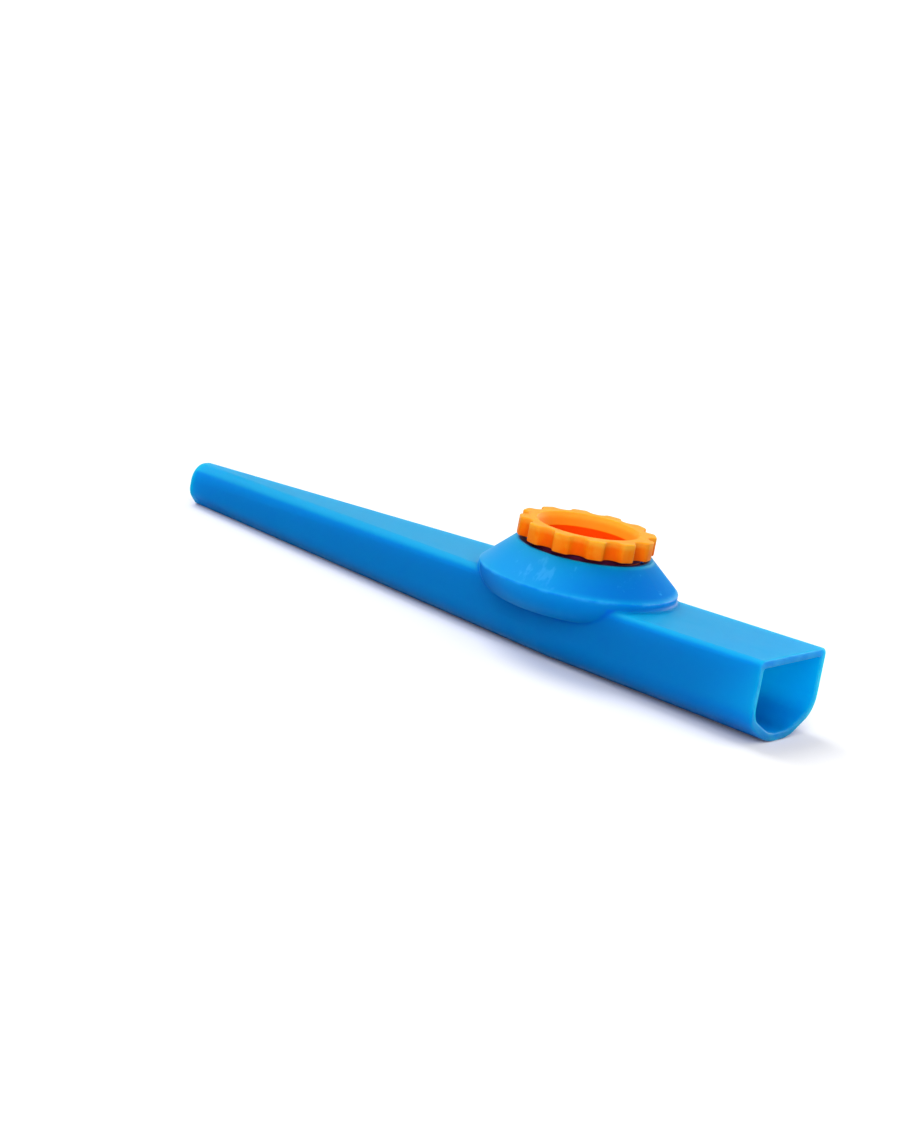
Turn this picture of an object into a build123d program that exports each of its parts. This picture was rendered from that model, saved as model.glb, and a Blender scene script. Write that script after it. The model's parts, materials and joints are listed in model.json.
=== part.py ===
from build123d import *
from math import atan2, cos, sin, sqrt
import os

os.makedirs("parts", exist_ok=True)

# A kazoo: a tapered square tube with a round turret on its flat top. A lobed cap screws into the turret
# and clamps a membrane on the ledge at its foot. The kazoo lies on its flat underside, with the
# mouthpiece towards -X and the bell towards +X. Lengths are in millimetres. Distances along the tube start
# at its mouth end, and heights start at its flat top face.

# Tube: the sizes of its cross-section at the mouth, at the turret's axis and at the bell
tube_length = 120.0
wall = 1.5
mouth_width = 6.8
mouth_height = 7.3
shoulder_width = 21.3
shoulder_bevel_width = 5.2
shoulder_bevel_height = 2.2
bell_width = 22.2
bell_height = 14.7
bell_bevel_width = 7.6
bell_bevel_height = 3.8
top_edge_radius = 1.25
knee_radius = 4.8
shoulder_belly_radius = 6.0
bell_belly_radius = 10.0
inner_corner_radius = 0.5
bell_rim_radius = 0.35
mouth_rim_radius = 0.6

# The mouthpiece is small and well rounded, so its corners follow its own width and height
mouth_bevel_width_share = 0.38
mouth_bevel_height_share = 0.30
mouth_corner_share = 0.44
mouth_knee_share = 0.38
mouth_belly_share = 0.25

# Turret: a puck with a cone above its sharp edge and a round skirt below it
turret_distance = 77.7
turret_radius = 16.85
turret_edge_height = 1.37
turret_edge_radius = 0.25
turret_height = 6.2
turret_skirt_depth = 3.75
turret_rim_wall = 1.29
turret_foot_radius = 0.6

# Screw cap: a lobed ring on a threaded sleeve, with a bore that flares at its mouth
cap_bore_radius = 7.75
cap_mouth_flare = 1.0
cap_mouth_depth = 2.1
cap_height = 3.25
cap_ring_wall = 2.45
cap_gap = 0.62
cap_edge_radius = 0.25
lobe_count = 12
lobe_height = 1.4
lobe_corner_radius = 0.8
lobe_angle = 9.0
scallop_radius = 1.55
sleeve_wall = 1.85

# Thread: one start, right-handed, with flanks at 45 degrees
thread_pitch = 2.5
thread_depth = 0.55
thread_crest_width = 0.4
thread_clearance = 0.2
thread_overlap = 0.1
thread_lead_in = 0.9

# Membrane: a film glued under a thin ring, which sits in a step at the sleeve's end
film_thickness = 0.1
ring_thickness = 0.8
ring_width = 1.05
ring_step = 0.9
ring_clearance = 0.05
ledge_width = 1.4
sleeve_gap = 0.15

overrun = 1.0

# Planes and sizes that follow from the values above
slope = atan2(bell_height - mouth_height, tube_length)
along = Vector(cos(slope), 0, sin(slope))
upward = Vector(-sin(slope), 0, cos(slope))
tube_reach = tube_length * cos(slope) + bell_height * sin(slope)
top_face = Plane((-tube_reach / 2, 0, mouth_height * cos(slope)), x_dir=along, z_dir=upward)
turret_foot = top_face.from_local_coords((turret_distance, 0, 0))
turret_plane = Plane(turret_foot, x_dir=along, z_dir=upward)
turret_side = Plane(turret_foot, x_dir=along, z_dir=-top_face.y_dir)
turret_axis = Axis(turret_foot, upward)
tube_axis = Axis(top_face.origin, along)

shoulder_height = mouth_height + (bell_height - mouth_height) * turret_distance / tube_length
sleeve_radius = cap_bore_radius + sleeve_wall
turret_bore_radius = sleeve_radius + thread_clearance
groove_radius = sleeve_radius + thread_depth + thread_clearance
turret_top_radius = groove_radius + turret_rim_wall
skirt_radius = turret_edge_height + turret_skirt_depth
cap_underside = turret_height + cap_gap
cap_top = cap_underside + cap_height
cap_mouth_radius = cap_bore_radius + cap_mouth_flare
valley_radius = cap_bore_radius + cap_ring_wall
lobe_tip_radius = valley_radius + lobe_height
ring_radius = cap_bore_radius + ring_step
ring_top = film_thickness + ring_thickness
step_radius = ring_radius + ring_clearance
seat_hole_radius = ring_radius - ledge_width
thread_half_width = thread_crest_width / 2 + thread_depth
groove_margin = thread_clearance * sqrt(2)
groove_half_width = thread_half_width + groove_margin
groove_start = groove_half_width + sleeve_gap
groove_end = turret_height + groove_half_width
ridge_start = groove_start + thread_lead_in
ridge_end = turret_height - thread_half_width

tube_stations = [
    (
        0,
        mouth_width,
        mouth_height,
        mouth_width * mouth_bevel_width_share,
        mouth_height * mouth_bevel_height_share,
        mouth_width * mouth_corner_share,
        mouth_width * mouth_knee_share,
        mouth_width * mouth_belly_share,
    ),
    (
        turret_distance,
        shoulder_width,
        shoulder_height,
        shoulder_bevel_width,
        shoulder_bevel_height,
        top_edge_radius,
        knee_radius,
        shoulder_belly_radius,
    ),
    (
        tube_length,
        bell_width,
        bell_height,
        bell_bevel_width,
        bell_bevel_height,
        top_edge_radius,
        knee_radius,
        bell_belly_radius,
    ),
]


def tube_section(distance, width, height, bevel_width, bevel_height, corner, knee, belly, inset=0):
    """Outline across the tube, or across its hollow where it is inset by the wall.

    The corners are at the top, the knees where the sides bend in, and the belly's bends are at the bottom.
    """
    half = width / 2
    across = Plane(top_face.from_local_coords((distance, 0, 0)), x_dir=top_face.y_dir, z_dir=along)
    with BuildSketch(across) as section:
        with BuildLine():
            Polyline(
                (half, 0),
                (half, bevel_height - height),
                (half - bevel_width, -height),
                (bevel_width - half, -height),
                (-half, bevel_height - height),
                (-half, 0),
                close=True,
            )
        make_face()
        if inset:
            offset(amount=-inset, kind=Kind.INTERSECTION, mode=Mode.REPLACE)
        bends = ((1, knee), (0, belly), (-1, corner))
        for row, radius in bends:
            bend_radius = max(radius - inset, inner_corner_radius)
            fillet(section.vertices().group_by(Axis.Y)[row], radius=bend_radius)
    return section.sketch


def thread_profile(path, inner, outer, margin=0):
    """Section of the thread from an inner to an outer depth, with a margin along both flanks."""
    start = path @ 0
    foot = turret_axis.position + upward * (start - turret_axis.position).dot(upward)
    inner_half = thread_crest_width / 2 + thread_depth - inner + margin
    outer_half = thread_crest_width / 2 + thread_depth - outer + margin
    with BuildSketch(Plane(start, x_dir=start - foot, z_dir=path % 0)) as profile:
        with BuildLine():
            Polyline(
                (inner, -inner_half),
                (outer, -outer_half),
                (outer, outer_half),
                (inner, inner_half),
                close=True,
            )
        make_face()
    return profile.sketch


# Thread line, from below the sleeve's ridge until the groove has left the turret's mouth
groove_rise = groove_end - groove_start
with BuildLine() as thread_line:
    Helix(
        thread_pitch,
        groove_rise,
        sleeve_radius,
        center=turret_plane.from_local_coords((0, 0, groove_start)),
        direction=upward,
    )
groove_path = thread_line.edges()[0]
ridge_path = groove_path.trim(
    (ridge_start - groove_start) / groove_rise,
    (ridge_end - groove_start) / groove_rise,
)

# Body: tube and turret in one piece, hollow from mouth to bell
with BuildPart() as body:
    loft(sections=[tube_section(*station) for station in tube_stations], ruled=True)
    with BuildSketch(turret_side) as puck:
        with BuildLine():
            skirt = CenterArc((turret_radius - skirt_radius, turret_edge_height), skirt_radius, 270, 90)
            Polyline(
                skirt @ 1,
                (turret_top_radius, turret_height),
                (0, turret_height),
                (0, -turret_skirt_depth),
                skirt @ 0,
            )
        make_face()
        fillet(puck.vertices().sort_by(Axis.X)[-1], radius=turret_edge_radius)
    revolve(axis=turret_axis)
    fillet(body.edges(Select.NEW), radius=turret_foot_radius)
    loft(
        sections=[tube_section(*station, inset=wall) for station in tube_stations],
        ruled=True,
        mode=Mode.SUBTRACT,
    )
    with BuildSketch(turret_plane):
        Circle(turret_bore_radius)
    extrude(amount=turret_height + overrun, mode=Mode.SUBTRACT)
    with BuildSketch(turret_plane):
        Circle(seat_hole_radius)
    extrude(amount=-(wall + overrun), mode=Mode.SUBTRACT)
    groove_profile = thread_profile(
        groove_path,
        thread_clearance - thread_overlap,
        thread_depth + thread_clearance,
        groove_margin,
    )
    sweep(sections=groove_profile, path=groove_path, is_frenet=True, mode=Mode.SUBTRACT)
    fillet(body.faces().sort_by(tube_axis)[0].outer_wire().edges(), radius=mouth_rim_radius)
    fillet(body.faces().sort_by(tube_axis)[-1].edges(), radius=bell_rim_radius)
body.part.label = "kazoo_body"
export_step(body.part, "parts/kazoo_body.step")

# Screw cap: lobed ring, bored sleeve with a step for the membrane's ring, and thread
with BuildPart() as cap:
    with BuildSketch(turret_plane.offset(cap_underside)) as lobes:
        Circle(lobe_tip_radius)
        with PolarLocations(valley_radius + scallop_radius, lobe_count, lobe_angle + 180 / lobe_count):
            Circle(scallop_radius, mode=Mode.SUBTRACT)
        fillet(lobes.vertices(), radius=lobe_corner_radius)
    extrude(amount=cap_height)
    with BuildSketch(turret_plane.offset(sleeve_gap)):
        Circle(sleeve_radius)
    extrude(amount=cap_underside - sleeve_gap)
    sweep(
        sections=thread_profile(ridge_path, -thread_overlap, thread_depth),
        path=ridge_path,
        is_frenet=True,
    )
    with BuildSketch(turret_plane):
        Circle(cap_bore_radius)
    extrude(amount=cap_top, mode=Mode.SUBTRACT)
    with BuildSketch(turret_plane.offset(cap_top - cap_mouth_depth)):
        Circle(cap_bore_radius)
    with BuildSketch(turret_plane.offset(cap_top)):
        Circle(cap_mouth_radius)
    loft(mode=Mode.SUBTRACT)
    with BuildSketch(turret_plane):
        Circle(step_radius)
    extrude(amount=ring_top, mode=Mode.SUBTRACT)
    fillet(cap.faces().sort_by(turret_axis)[-1].edges(), radius=cap_edge_radius)
    lobe_underside = cap.faces().filter_by(GeomType.PLANE).sort_by(turret_axis)[-2]
    fillet(lobe_underside.outer_wire().edges(), radius=cap_edge_radius)
cap.part.label = "screw_cap"
export_step(cap.part, "parts/screw_cap.step")

# Membrane ring: thin hoop in the step of the sleeve
with BuildPart() as ring:
    with BuildSketch(turret_plane.offset(film_thickness)):
        Circle(ring_radius)
        Circle(ring_radius - ring_width, mode=Mode.SUBTRACT)
    extrude(amount=ring_thickness)
ring.part.label = "membrane_ring"
export_step(ring.part, "parts/membrane_ring.step")

# Membrane film: glued under the ring, with its rim on the turret's ledge
with BuildPart() as film:
    with BuildSketch(turret_plane):
        Circle(ring_radius)
    extrude(amount=film_thickness)
film.part.label = "membrane_film"
export_step(film.part, "parts/membrane_film.step")
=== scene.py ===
import bpy
import json
from math import asin, cos, pi, radians, sin
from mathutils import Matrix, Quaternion, Vector


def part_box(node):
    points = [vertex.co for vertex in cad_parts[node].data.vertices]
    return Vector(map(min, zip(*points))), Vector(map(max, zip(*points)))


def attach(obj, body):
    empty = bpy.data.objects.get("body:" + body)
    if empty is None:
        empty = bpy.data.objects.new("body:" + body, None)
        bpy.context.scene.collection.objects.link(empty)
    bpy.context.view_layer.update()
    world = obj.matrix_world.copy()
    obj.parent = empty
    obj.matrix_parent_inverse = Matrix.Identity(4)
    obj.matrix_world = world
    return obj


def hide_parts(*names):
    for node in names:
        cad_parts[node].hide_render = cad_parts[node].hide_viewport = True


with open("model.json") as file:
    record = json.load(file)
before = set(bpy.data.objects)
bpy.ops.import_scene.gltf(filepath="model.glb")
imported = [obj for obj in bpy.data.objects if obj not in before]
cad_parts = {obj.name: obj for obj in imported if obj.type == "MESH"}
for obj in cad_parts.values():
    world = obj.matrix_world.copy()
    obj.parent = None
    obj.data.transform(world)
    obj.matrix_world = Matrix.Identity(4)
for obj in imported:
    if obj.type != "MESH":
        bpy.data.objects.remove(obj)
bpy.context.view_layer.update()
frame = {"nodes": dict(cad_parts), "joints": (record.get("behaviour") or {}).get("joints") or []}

# Body: tube and turret are one hollow moulding in blue plastic, open at mouthpiece, bell and turret.
# Faces that look up are painted a lighter blue, a painted light. Edges are rubbed paler, partly wear and
# partly painted highlight, and a thumb has scuffed the cone. The turret's bell side and its skirt are more
# matt and painted darker, a painted shade, and its top under the cap is painted a near-black purple, a
# painted shadow of the gap.


class Shade:
    """A socket of a material. Sums and products of it add Math nodes."""

    def __init__(self, tree, socket=None):
        self.tree = tree
        self.socket = socket

    def node(self, kind, settings=None, sockets=None, output=0):
        """Adds a node, sets it, fills or links its sockets and gives back one of its outputs."""
        made = self.tree.nodes.new(kind)
        for name, value in (settings or {}).items():
            setattr(made, name, value)
        for name, value in (sockets or {}).items():
            if isinstance(value, Shade):
                self.tree.links.new(value.socket, made.inputs[name])
            else:
                made.inputs[name].default_value = value
        return Shade(self.tree, made.outputs[output])

    def maths(self, operation, *values):
        """Adds a Math node that works on sockets or numbers."""
        return self.node("ShaderNodeMath", {"operation": operation}, dict(enumerate(values)))

    def __add__(self, other):
        return self.maths("ADD", self, other)

    def __sub__(self, other):
        return self.maths("SUBTRACT", self, other)

    def __rsub__(self, other):
        return self.maths("SUBTRACT", other, self)

    def __mul__(self, other):
        return self.maths("MULTIPLY", self, other)

    __radd__ = __add__
    __rmul__ = __mul__

    def parts(self):
        """The three coordinates of a place or direction."""
        split = self.node("ShaderNodeSeparateXYZ", None, {"Vector": self}).socket.node
        return [Shade(self.tree, output) for output in split.outputs]

    def step(self, low, high):
        """0 below low, 1 above high, smooth between them."""
        return self.node(
            "ShaderNodeMapRange",
            {"interpolation_type": "SMOOTHSTEP"},
            {"Value": self, "From Min": low, "From Max": high},
        )

    def band(self, middle, half, soft):
        """1 within half of the middle, falling to 0 over the soft width on both sides."""
        return 1 - self.maths("ABSOLUTE", self - middle).step(half, half + soft)

    def noise(self, size, detail, roughness, stretch=(1, 1, 1)):
        """Cloudy pattern with patches of about that size, longer along the axes with a larger stretch."""
        place = self.node(
            "ShaderNodeMapping",
            {"vector_type": "TEXTURE"},
            {"Vector": self, "Scale": [size * part for part in stretch]},
        )
        return self.node(
            "ShaderNodeTexNoise",
            None,
            {"Vector": place, "Scale": 1.0, "Detail": detail, "Roughness": roughness},
        )

    def tint(self, from_colour, to_colour):
        """Colour between two others, by this socket's value."""
        return self.node(
            "ShaderNodeMix",
            {"data_type": "RGBA"},
            {
                "Factor": self,
                6: from_colour if isinstance(from_colour, Shade) else (*from_colour, 1),
                7: (*to_colour, 1),
            },
            output=2,
        )


turn = next(joint for joint in frame["joints"] if joint["name"] == "cap_turn")
turret_foot = Vector(turn["pos_m"])
turret_axis = Vector(turn["axis"]).normalized()
slope = asin(-turret_axis.x)
tube_axis = Vector((cos(slope), 0, sin(slope)))
sideways = Vector((0, 1, 0))
millimetre = 0.001


def points_of(name):
    """The points of a CAD node, from the turret's foot, in millimetres."""
    vertices = frame["nodes"][name].data.vertices
    return [(vertex.co - turret_foot) / millimetre for vertex in vertices]


def reach(points, direction):
    """How far the points go from the turret's foot in a direction."""
    return max(point.dot(direction) for point in points)


def new_finish(name):
    """An empty material, its surface, and the place from the turret's foot in millimetres."""
    finish = bpy.data.materials.new(name)
    finish.use_nodes = True
    here = Shade(finish.node_tree).node("ShaderNodeTexCoord", output="Object")
    place = here.node(
        "ShaderNodeMapping",
        {"vector_type": "TEXTURE"},
        {
            "Vector": here,
            "Location": turret_foot,
            "Rotation": (0, -slope, 0),
            "Scale": [millimetre] * 3,
        },
    )
    return finish, finish.node_tree.nodes["Principled BSDF"], place


def fill(surface, **sockets):
    """Links shades to a surface's sockets, and sets plain values on the sockets themselves."""
    for name, value in sockets.items():
        socket = surface.inputs[name.replace("_", " ")]
        if isinstance(value, Shade):
            value.tree.links.new(value.socket, socket)
        else:
            socket.default_value = value


def satin_skin(place, waves_height, grain_height):
    """Normal of a moulded skin with slow waves and a fine grain, whose heights are in millimetres."""
    waves = place.noise(size=8.0, detail=2.0, roughness=0.5)
    grain = place.noise(size=0.25, detail=2.0, roughness=0.6)
    height = waves_height * waves + grain_height * grain
    return place.node("ShaderNodeBump", None, {"Distance": millimetre, "Height": height})


blue = (0.0, 0.200, 0.77)
blue_cloud = (0.0, 0.183, 0.74)
blue_painted_top_light = (0.0, 0.285, 0.71)
blue_painted_bell_shade = (0.0, 0.175, 0.62)
blue_painted_skirt_shade = (0.0, 0.226, 0.655)
blue_painted_under_edge_shade = (0.0, 0.088, 0.475)
blue_rubbed_and_highlight = (0.03, 0.36, 0.80)
blue_painted_gap_shade = (0.035, 0.008, 0.045)
under_edge_shade_strength = 0.85
scuff_strength = 0.65
rub_and_highlight_strength = 0.5
rim_rub_and_highlight_share = 0.6
satin_roughness = 0.34
smear_roughness = 0.14
scuff_roughness = 0.10
matt_roughness = 0.45

# Places on the body in millimetres. A span runs from where a mark begins to where it is full, or the
# other way round where the mark is on its low side.
body_points = points_of("kazoo_body")
turret_top = reach(body_points, turret_axis)
edge_radius = reach(body_points, sideways)
edge_height = 1.37
rim_distance = reach(body_points, tube_axis)
rim_span = (rim_distance - 0.35, rim_distance)
cone_foot_span = (1.4, 2.2)
cone_top_span = (5.7, 6.1)
outside_span = (-1.4, -0.9)
bell_side_span = (1.0, 15.0)
mouth_side_span = (-15.0, -2.0)
tube_side_span = (10.7, 11.4)
above_tube_span = (0.1, 0.4)
skirt_top_span = (0.9, edge_height)
gap_shade_height_span = (turret_top - 0.05, turret_top)
gap_shade_edge_span = (10.84, 11.34)
thumb_spot = (0.3, -14.5, 3.5)
thumb_span = (1.5, 4.5)

# Levels of a pattern, or of how far a face looks up, from where a mark begins to where it is full
upward_levels = (0.2, 0.8)
scuff_levels = (0.60, 0.72)
thumb_wear = 0.12
rub_and_highlight_levels = (0.38, 0.62)

finish, surface, place = new_finish("blue_plastic_satin")
along, across, height = place.parts()
from_axis = place.maths("SQRT", along * along + across * across)
on_edge = from_axis.band(edge_radius, half=0.10, soft=0.35)
on_edge = on_edge * height.band(edge_height, half=0.15, soft=0.4)
on_rim = along.step(*rim_span)
on_cone = height.step(*cone_foot_span) * (1 - height.step(*cone_top_span))
facing_up = place.node("ShaderNodeNewGeometry", output="Normal").parts()[2]
painted_top_light = facing_up.step(*upward_levels) * height.step(*outside_span)
bell_side = on_cone * along.step(*bell_side_span)
beside_tube = across.maths("ABSOLUTE", across).step(*tube_side_span)
clear_of_tube = height.maths("MAXIMUM", beside_tube, height.step(*above_tube_span))
on_skirt = clear_of_tube * (1 - height.step(*skirt_top_span))
under_edge = beside_tube * on_skirt * (1 - along.step(*mouth_side_span))
from_thumb = place.node(
    "ShaderNodeVectorMath",
    {"operation": "DISTANCE"},
    {0: place, 1: thumb_spot},
    output="Value",
)
worn = thumb_wear * (1 - from_thumb.step(*thumb_span))
scratches = place.noise(size=2.6, detail=4.0, roughness=0.62, stretch=(0.5, 1.0, 2.2))
scuffs = scratches.step(*[level - worn for level in scuff_levels]) * on_cone
rub_and_highlight_patches = place.noise(size=3.5, detail=3.0, roughness=0.6).step(*rub_and_highlight_levels)
rub_and_highlight = rub_and_highlight_patches * (on_edge + rim_rub_and_highlight_share * on_rim)
under_cap = height.step(*gap_shade_height_span) * (1 - from_axis.step(*gap_shade_edge_span))
cloud = place.noise(size=16.0, detail=3.0, roughness=0.55)
smear = place.noise(size=7.0, detail=4.0, roughness=0.6, stretch=(2.0, 1.0, 1.0))
colour = cloud.tint(blue, blue_cloud)
# Painted light: faces that look up are painted a lighter, greener blue.
colour = painted_top_light.tint(colour, blue_painted_top_light)
# Painted shade: the bell side of the cone is painted a deeper blue.
colour = bell_side.tint(colour, blue_painted_bell_shade)
# Painted shade: the skirt is painted darker, and darkest under the turret's edge on the mouth side.
colour = on_skirt.tint(colour, blue_painted_skirt_shade)
colour = (under_edge_shade_strength * under_edge).tint(colour, blue_painted_under_edge_shade)
# Scuffs on the cone are wear; the paler patches on the turret's edge and the bell's rim are partly wear
# and partly painted highlight.
colour = (scuff_strength * scuffs + rub_and_highlight_strength * rub_and_highlight).tint(colour, blue_rubbed_and_highlight)
# Painted shadow: the turret's top under the cap, in the gap, is painted a near-black purple.
colour = under_cap.tint(colour, blue_painted_gap_shade)
roughness = satin_roughness + smear_roughness * smear + scuff_roughness * scuffs
roughness = roughness + matt_roughness * (bell_side + under_edge)
fill(
    surface,
    Base_Color=colour,
    Roughness=roughness,
    Normal=satin_skin(place, waves_height=0.02, grain_height=0.0015),
    Specular_IOR_Level=0.035,
    Subsurface_Weight=1.0,
    Subsurface_Radius=(0.1, 0.5, 0.5),
    Subsurface_Scale=0.02,
)
frame["nodes"]["kazoo_body"].material_slots[0].material = finish

# Membrane film: a disc of waxed tissue glued under a thin hoop. It is drawn tight, with faint
# crinkles from the glue, and lets a little of the dark hollow show through.
film_low, film_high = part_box("membrane_film")
film_radius = (film_high[1] - film_low[1]) / 2
film_thickness = 0.00006
film_lift = 0.00002
rim_points = 96
grid_cuts = 2
unglued_share = 0.92
slack_power = 4
crinkle_height = 0.00003
crinkle_size = 0.0035
smooth_angle = radians(40)
tissue_pale = (0.80, 0.77, 0.68)
tissue_dark = (0.62, 0.59, 0.50)

bpy.ops.object.select_all(action="DESELECT")
bpy.ops.mesh.primitive_circle_add(vertices=rim_points, radius=film_radius, fill_type="NOTHING")
film = bpy.context.object
film.name = "membrane_sheet"
bpy.ops.object.mode_set(mode="EDIT")
bpy.ops.mesh.select_all(action="SELECT")
bpy.ops.mesh.fill_grid(span=rim_points // 4)
bpy.ops.mesh.select_all(action="SELECT")
bpy.ops.mesh.subdivide(number_cuts=grid_cuts, smoothness=0)
bpy.ops.object.mode_set(mode="OBJECT")
free = film.vertex_groups.new(name="free_of_the_hoop")
for vertex in film.data.vertices:
    way_to_glue = vertex.co.xy.length / (film_radius * unglued_share)
    slack = max(0.0, 1 - way_to_glue ** slack_power)
    free.add([vertex.index], slack, "REPLACE")
crinkles = bpy.data.textures.new("film_crinkles", "CLOUDS")
crinkles.noise_scale = crinkle_size
crinkles.noise_depth = 2
displace = film.modifiers.new("crinkle", "DISPLACE")
displace.texture = crinkles
displace.strength = crinkle_height * 2
displace.vertex_group = free.name
bpy.ops.object.modifier_apply(modifier=displace.name)
solid = film.modifiers.new("thickness", "SOLIDIFY")
solid.thickness = film_thickness
solid.offset = 1
bpy.ops.object.modifier_apply(modifier=solid.name)
bpy.ops.object.shade_smooth_by_angle(angle=smooth_angle)
film.location = turret_foot + turret_axis * film_lift
film.rotation_euler = (0, -slope, 0)
bpy.ops.object.transform_apply(location=True, rotation=True, scale=True)

finish, surface, place = new_finish("waxed_tissue")
fibres = place.noise(size=1.1, detail=5.0, roughness=0.7, stretch=(1.0, 0.35, 1.0))
clots = place.noise(size=4.5, detail=3.0, roughness=0.6)
fill(
    surface,
    Base_Color=fibres.tint(tissue_pale, tissue_dark),
    Roughness=0.34 + 0.2 * fibres,
    Alpha=0.80 + 0.16 * clots,
    Normal=place.node("ShaderNodeBump", None, {"Strength": 0.2, "Distance": 0.0001, "Height": fibres}),
)
film.data.materials.append(finish)
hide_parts("membrane_film")
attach(film, "membrane")

# Membrane hoop: a thin flat ring punched from pale plastic sheet, with the film glued under it.
# It sits in a step at the end of the cap's sleeve, which presses it on the turret's ledge.
hoop_pale = (0.74, 0.71, 0.64)
hoop_dark = (0.64, 0.61, 0.54)

finish, surface, place = new_finish("hoop_plastic")
speck = place.noise(size=0.5, detail=3.0, roughness=0.6)
fill(
    surface,
    Base_Color=speck.tint(hoop_pale, hoop_dark),
    Roughness=0.5 + 0.15 * speck,
)
frame["nodes"]["membrane_ring"].material_slots[0].material = finish

# Screw cap: a lobed ring on a threaded sleeve, one moulding in orange plastic of the same satin kind.
# It screws into the turret and clamps the membrane. Fingers have rubbed its lobes and top paler in
# patches, and its top and flared mouth are painted paler all over, a painted highlight. Its valleys and
# the low part of its lobes are painted darker and the bore below a deeper red, as painted shade, and the
# sleeve in the gap under the lobes is painted a near-black red, a painted shadow.
orange = (1.0, 0.215, 0.002)
orange_cloud = (0.98, 0.195, 0.002)
orange_rubbed_and_highlight = (1.0, 0.41, 0.03)
orange_painted_low_shade = (0.95, 0.125, 0.001)
orange_painted_bore_shade = (0.95, 0.075, 0.001)
orange_painted_gap_shade = (0.10, 0.010, 0.045)
low_shade_strength = 0.7
valley_shade_strength = 0.8
lobe_touch_strength = 0.25
top_touch_strength = 0.2
top_highlight_strength = 0.65
mouth_highlight_strength = 0.35

# Places on the cap in millimetres, and the levels of the pattern where it was touched
cap_points = points_of("screw_cap")
cap_radii = [point.cross(turret_axis).length for point in cap_points]
bore_radius = min(cap_radii)
lobe_tip = max(cap_radii)
lobe_foot = lobe_tip - 1.4
cap_top = reach(cap_points, turret_axis)
mouth_foot = cap_top - 2.1
mouth_radius = bore_radius + 1.0
gap_foot = turret_top - 0.15
gap_top = turret_top + 0.6
lobe_span = (lobe_tip - 0.5, lobe_tip)
valley_start_span = (lobe_foot - 0.5, lobe_foot - 0.2)
valley_end_span = (lobe_foot, lobe_foot + 0.9)
top_span = (cap_top - 1.3, cap_top - 0.3)
low_span = (gap_top, gap_top + 2.0)
mouth_foot_span = (mouth_foot, mouth_foot + 0.1)
mouth_edge_span = (mouth_radius, mouth_radius + 0.2)
bore_top_span = (mouth_foot - 0.1, mouth_foot)
bore_wall_span = (bore_radius + 0.1, bore_radius + 0.3)
sleeve_span = (bore_radius + 1.0, bore_radius + 1.2)
touch_levels = (0.35, 0.65)

finish, surface, place = new_finish("orange_plastic_satin")
along, across, height = place.parts()
from_axis = place.maths("SQRT", along * along + across * across)
on_lobes = from_axis.step(*lobe_span)
in_valleys = from_axis.step(*valley_start_span) * (1 - from_axis.step(*valley_end_span))
on_top = height.step(*top_span)
low_down = 1 - height.step(*low_span)
in_mouth = height.step(*mouth_foot_span) * (1 - from_axis.step(*mouth_edge_span))
in_bore = (1 - height.step(*bore_top_span)) * (1 - from_axis.step(*bore_wall_span))
in_gap = height.band((gap_foot + gap_top) / 2, half=(gap_top - gap_foot) / 2, soft=0.1)
in_gap = in_gap * from_axis.step(*sleeve_span)
touched = place.noise(size=2.2, detail=3.0, roughness=0.6).step(*touch_levels)
rub_and_highlight = touched * (lobe_touch_strength * on_lobes + top_touch_strength * on_top)
rub_and_highlight = rub_and_highlight + top_highlight_strength * on_top + mouth_highlight_strength * in_mouth
cloud = place.noise(size=9.0, detail=3.0, roughness=0.55)
smear = place.noise(size=4.0, detail=4.0, roughness=0.6)
colour = cloud.tint(orange, orange_cloud)
# Painted shade: the valleys between the lobes and the low part of the lobes are painted a darker
# red-orange.
colour = (low_shade_strength * low_down + valley_shade_strength * in_valleys).tint(colour, orange_painted_low_shade)
# Paler patches on the lobes and top are wear; the top and the flared mouth are painted paler all over, a
# painted highlight.
colour = rub_and_highlight.tint(colour, orange_rubbed_and_highlight)
# Painted shade: the bore below its mouth is painted a deeper red.
colour = in_bore.tint(colour, orange_painted_bore_shade)
# Painted shadow: the sleeve in the gap under the lobes is painted a near-black red.
colour = in_gap.tint(colour, orange_painted_gap_shade)
fill(
    surface,
    Base_Color=colour,
    Roughness=satin_roughness + smear_roughness * smear,
    Normal=satin_skin(place, waves_height=0.012, grain_height=0.0015),
    Specular_IOR_Level=0.025,
    Subsurface_Weight=0.3,
    Subsurface_Radius=(1.0, 0.3, 0.05),
    Subsurface_Scale=0.001,
)
frame["nodes"]["screw_cap"].material_slots[0].material = finish

# Floor: a plain sheet of pale studio paper, far wider than the view.
# It looks white, but throws back less light than white paper, so that the underside keeps its colour.
floor_size = 12.0
floor_bounce = (0.45, 0.45, 0.45)
floor_white = (0.97, 0.97, 0.97)


def seen_directly(tree):
    """1 for rays from the camera, a reflection or a clear film, and 0 for light on the object."""
    path = Shade(tree).node("ShaderNodeLightPath").socket.node.outputs
    kinds = ("Is Camera Ray", "Is Glossy Ray", "Is Transmission Ray")
    camera, glossy, through = (Shade(tree, path[kind]) for kind in kinds)
    return camera.maths("MAXIMUM", camera, glossy.maths("MAXIMUM", glossy, through))


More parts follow.
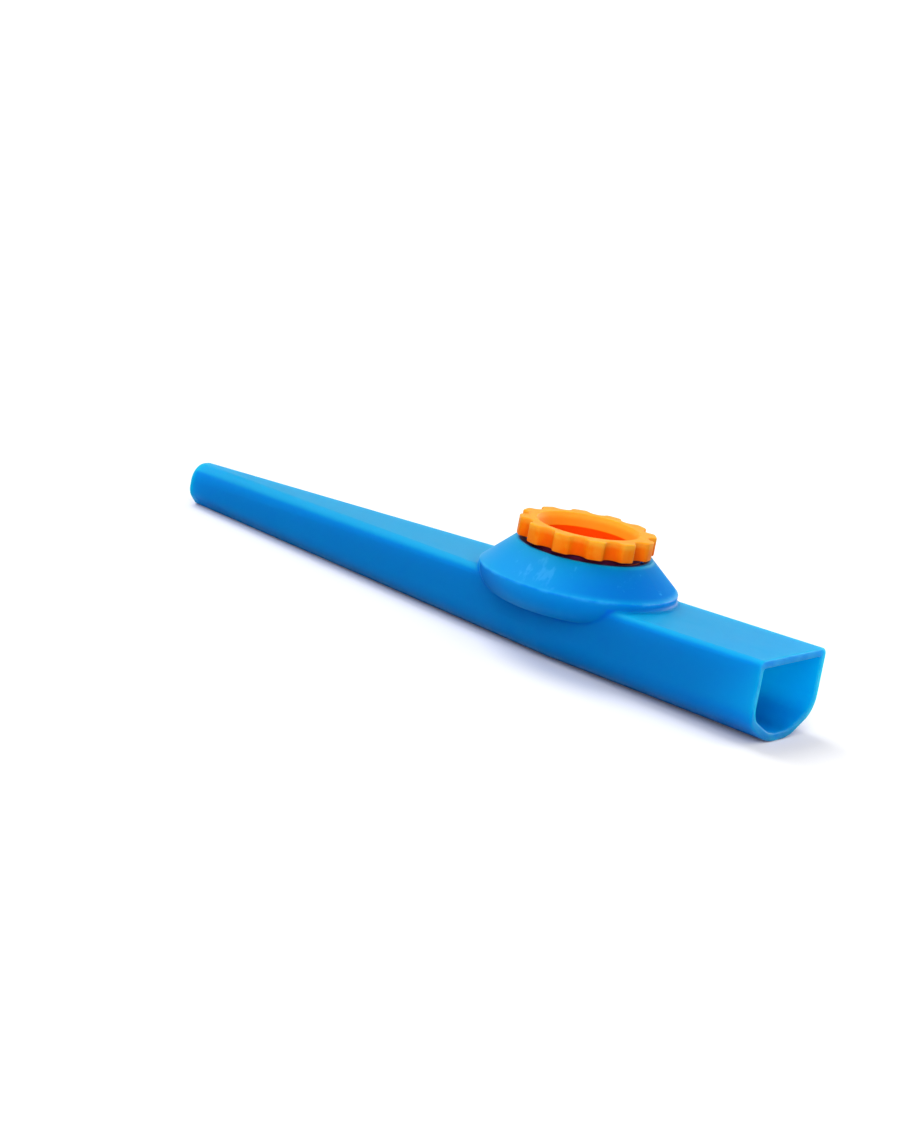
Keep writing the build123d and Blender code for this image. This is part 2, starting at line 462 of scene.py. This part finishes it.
bpy.ops.object.select_all(action="DESELECT")
bpy.ops.mesh.primitive_plane_add(size=floor_size)
floor = bpy.context.object
floor.name = "studio_floor"
paper, surface, _ = new_finish("studio_paper")
fill(
    surface,
    Base_Color=seen_directly(paper.node_tree).tint(floor_bounce, floor_white),
    Roughness=1.0,
    Specular_IOR_Level=0.0,
)
floor.data.materials.append(paper)

# Light: broad soft lamps, one high on the left, one in front and a low one behind, in a pale room.
# The room looks white, but gives the object half of that light.
room_light = 0.5


def soft_lamp(name, towards, strength, spread):
    """A far lamp that shines in a direction. Its spread, in degrees, softens the shadows."""
    lamp = bpy.data.lights.new(name, "SUN")
    lamp.energy = strength
    lamp.angle = radians(spread)
    holder = bpy.data.objects.new(name, lamp)
    holder.rotation_euler = Vector(towards).to_track_quat("-Z", "Y").to_euler()
    bpy.context.scene.collection.objects.link(holder)


soft_lamp("key", towards=(0.55, 0.0, -0.8), strength=1.4, spread=40)
soft_lamp("front", towards=(-0.35, 0.8, -0.55), strength=1.65, spread=50)
soft_lamp("back", towards=(-0.2, -0.95, -0.08), strength=2.2, spread=40)
room = bpy.data.worlds.new("pale_room")
bpy.context.scene.world = room
room.use_nodes = True
fill(
    room.node_tree.nodes["Background"],
    Color=(1, 1, 1, 1),
    Strength=room_light + (1 - room_light) * seen_directly(room.node_tree),
)

# Camera: a long lens in front of the bell, just under a metre away.
# It is rolled, so that the tube falls from left to right.
camera_place = (0.40789, -0.71837, 0.22038)
camera_aim = (-0.48484, 0.83845, -0.24886)
camera_roll = radians(13.873)
lens_length = 162.25
nearest_seen = 0.01
farthest_seen = 50.0

camera = bpy.data.objects.new("camera", bpy.data.cameras.new("camera"))
camera.data.lens = lens_length
camera.data.clip_start = nearest_seen
camera.data.clip_end = farthest_seen
camera.location = camera_place
aim = Vector(camera_aim).to_track_quat("-Z", "Y")
camera.rotation_euler = (aim @ Quaternion((0, 0, 1), camera_roll)).to_euler()
bpy.context.scene.collection.objects.link(camera)
bpy.context.scene.camera = camera
bpy.context.scene.view_settings.view_transform = "Standard"
